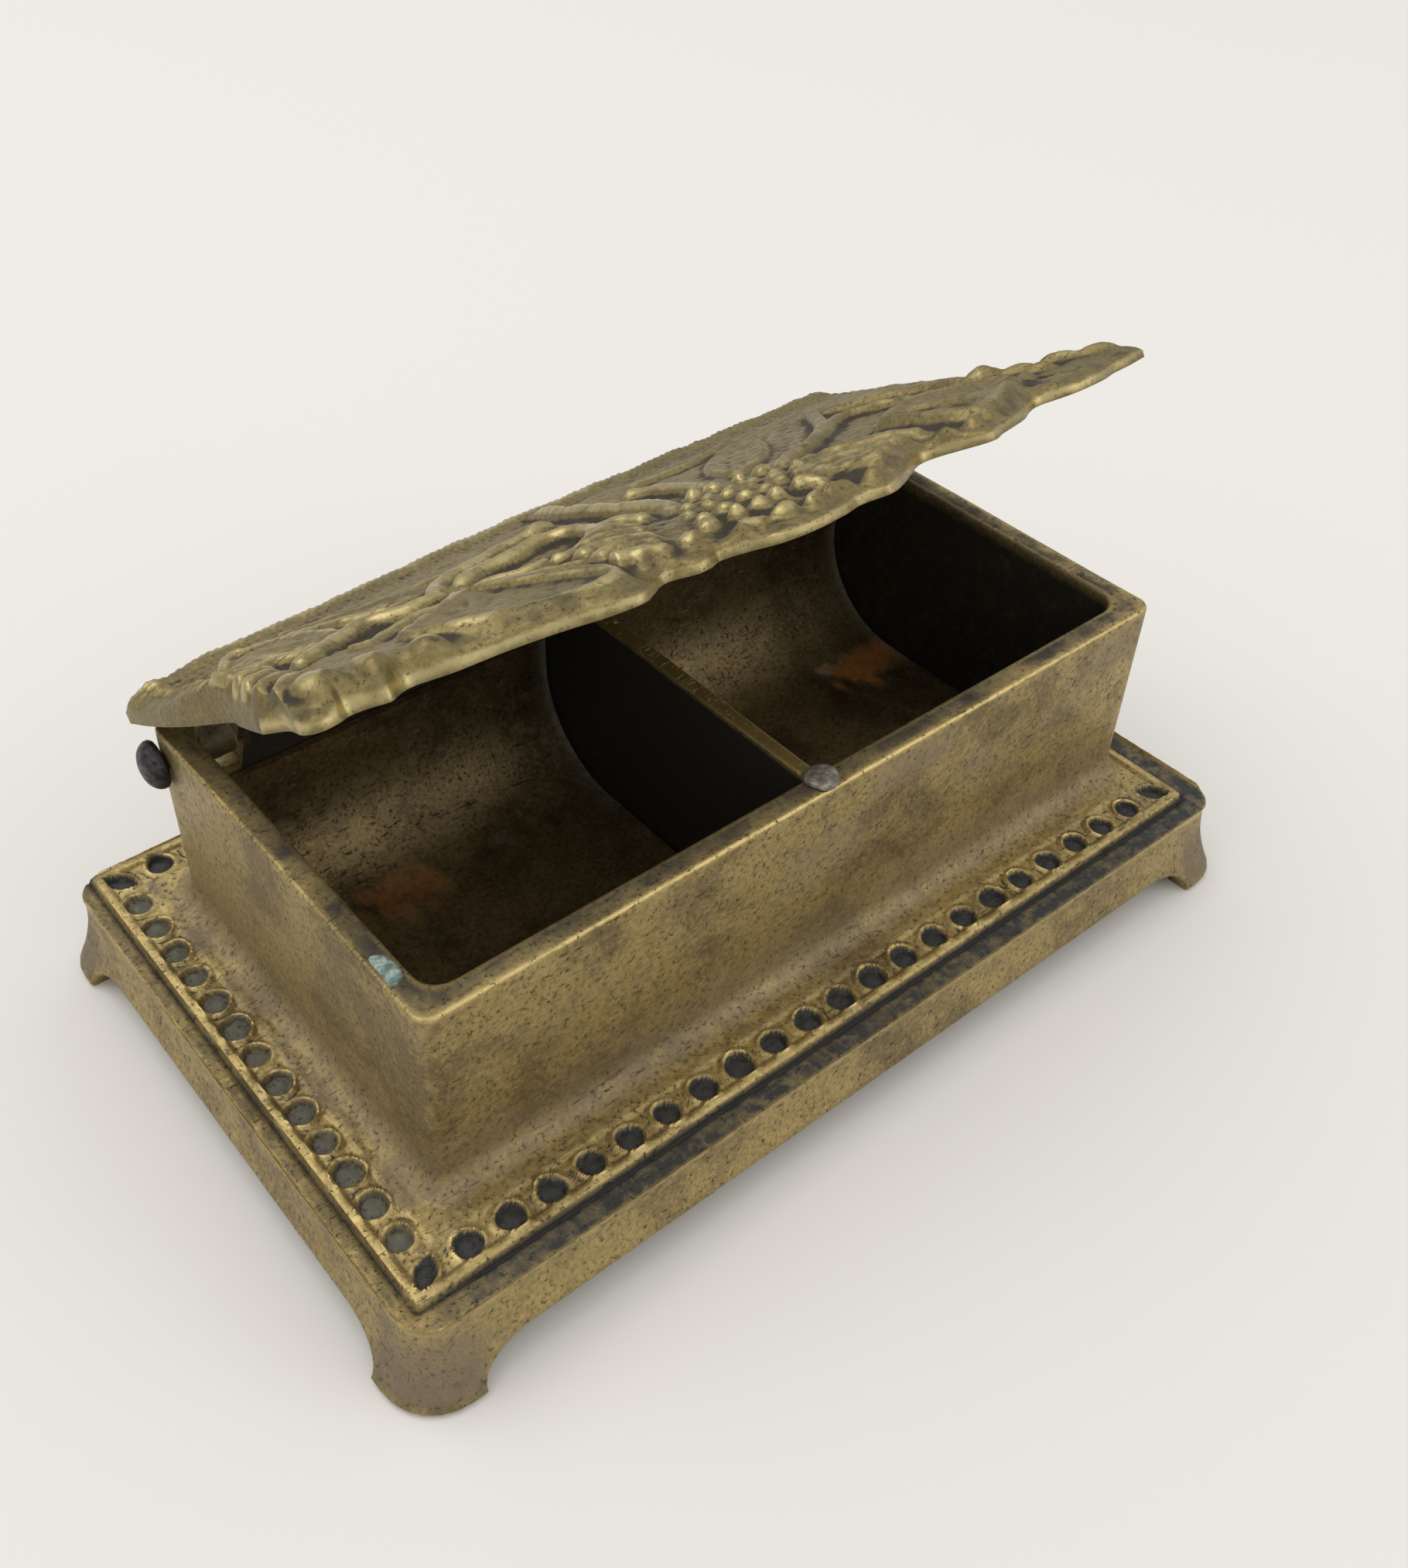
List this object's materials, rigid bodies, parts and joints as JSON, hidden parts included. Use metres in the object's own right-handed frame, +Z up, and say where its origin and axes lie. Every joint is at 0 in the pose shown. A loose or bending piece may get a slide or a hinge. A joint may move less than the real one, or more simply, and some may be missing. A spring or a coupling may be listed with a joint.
{
  "type": "stamp box",
  "caption": "Footed cast brass stamp box with a relief lid on hinge pins, a divider and coved compartment floors.",
  "frame": {"origin": "middle of the object's outline on the floor, at the level of the feet", "axes": "+X along the long side, +Y towards the hinge at the back, +Z up"},
  "size_m": [0.101, 0.0646, 0.0544],
  "materials": {
    "aged_brass": "brown patina, worn bright on the edges",
    "rubbed_brass": "rubbed high spots over dark hollows",
    "tarnished_sheet": "dark tarnished sheet",
    "dark_steel": "blackened",
    "verdigris": "pale powdery green",
    "solder": "dull grey"
  },
  "bodies": {
    "box": {"box_casting": "aged_brass", "divider_plate": "aged_brass", "left_liner": "tarnished_sheet", "right_liner": "tarnished_sheet", "hinge_pin_left": "dark_steel", "hinge_pin_right": "dark_steel", "divider_solder_lump": "solder", "verdigris_plug_left": "verdigris", "rim_plug_right": "solder"},
    "lid": {"relief_lid": "rubbed_brass"}
  },
  "joints": [
    {"name": "lid_hinge", "type": "hinge", "parent": "box", "child": "lid", "pos_m": [0, 0.02155, 0.0263], "axis": [1, 0, 0], "range_deg": [-84, 30]}
  ]
}
